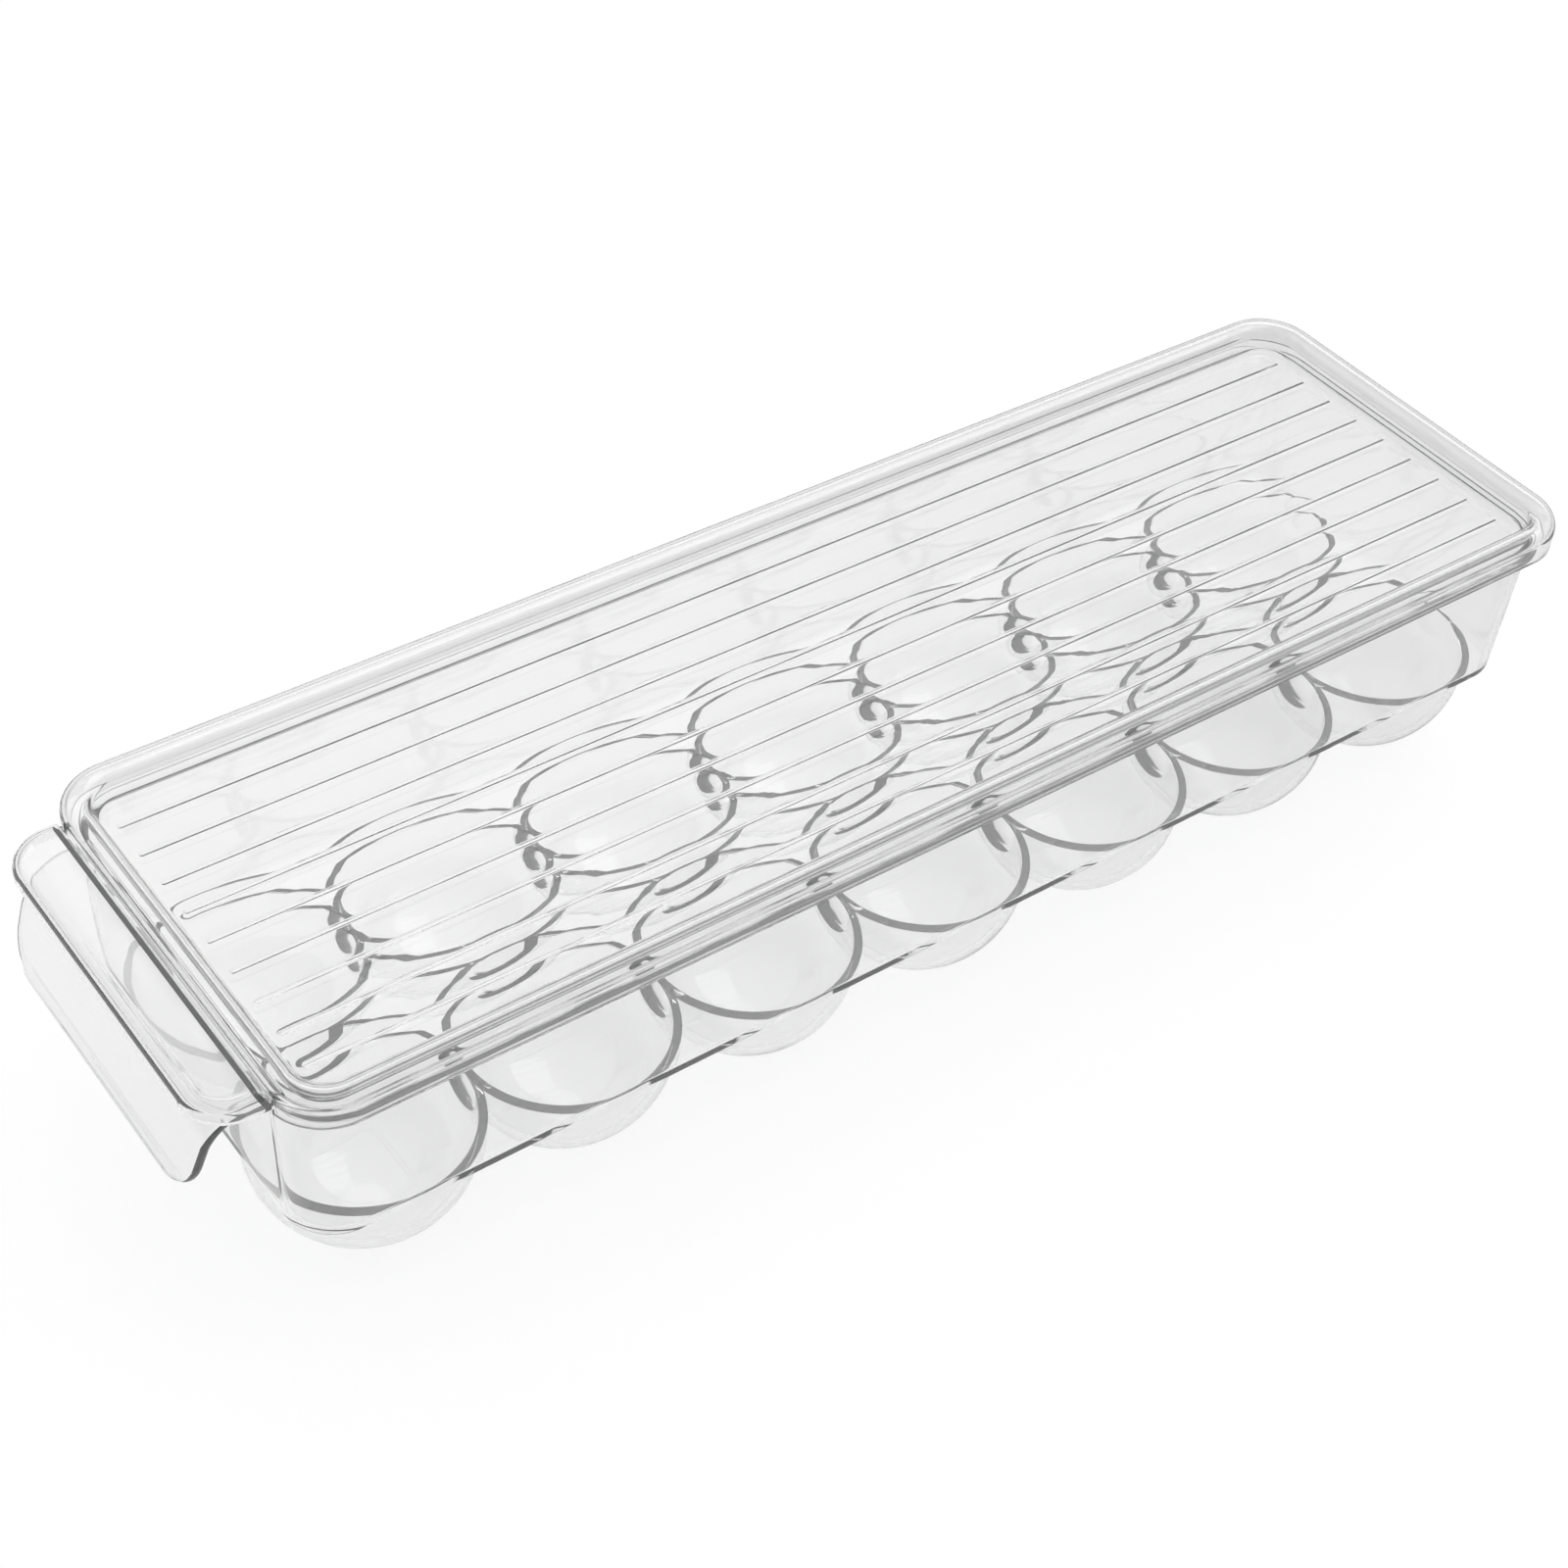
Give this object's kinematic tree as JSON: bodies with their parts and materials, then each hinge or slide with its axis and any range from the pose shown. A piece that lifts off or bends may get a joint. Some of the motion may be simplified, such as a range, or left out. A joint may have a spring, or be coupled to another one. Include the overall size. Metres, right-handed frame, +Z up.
{
  "type": "egg keeper",
  "caption": "Long clear tray with two rows of round-bottomed egg cups, a pull handle at one end, and a ribbed clear lid with a lift tab that tips up about its far end.",
  "frame": {"origin": "on the surface it stands on, under the middle of the whole object's box", "axes": "+X across the tray to the right as seen from the handle, +Y along the tray from the handle to the far end, +Z up"},
  "size_m": [0.1084, 0.3658, 0.0742],
  "materials": {
    "tray_plastic": "polished clear",
    "lid_plastic": "polished clear"
  },
  "bodies": {
    "tray": {"egg_cup_left_1": "tray_plastic", "egg_cup_right_1": "tray_plastic", "egg_cup_left_2": "tray_plastic", "egg_cup_right_2": "tray_plastic", "egg_cup_left_3": "tray_plastic", "egg_cup_right_3": "tray_plastic", "egg_cup_left_4": "tray_plastic", "egg_cup_right_4": "tray_plastic", "egg_cup_left_5": "tray_plastic", "egg_cup_right_5": "tray_plastic", "egg_cup_left_6": "tray_plastic", "egg_cup_right_6": "tray_plastic", "egg_cup_left_7": "tray_plastic", "egg_cup_right_7": "tray_plastic", "tray_wall_front": "tray_plastic", "tray_wall_back": "tray_plastic", "tray_wall_left": "tray_plastic", "tray_wall_right": "tray_plastic", "tray_handle": "tray_plastic"},
    "lid": {"lid_panel": "lid_plastic", "lid_rim_front": "lid_plastic", "lid_rim_back": "lid_plastic", "lid_rim_left": "lid_plastic", "lid_rim_right": "lid_plastic", "lid_tab": "lid_plastic"}
  },
  "joints": [
    {"name": "lid_tip_up", "type": "hinge", "parent": "tray", "child": "lid", "pos_m": [0, 0.18288, 0.0649], "axis": [-1, 0, 0], "range_deg": [0, 100]}
  ]
}
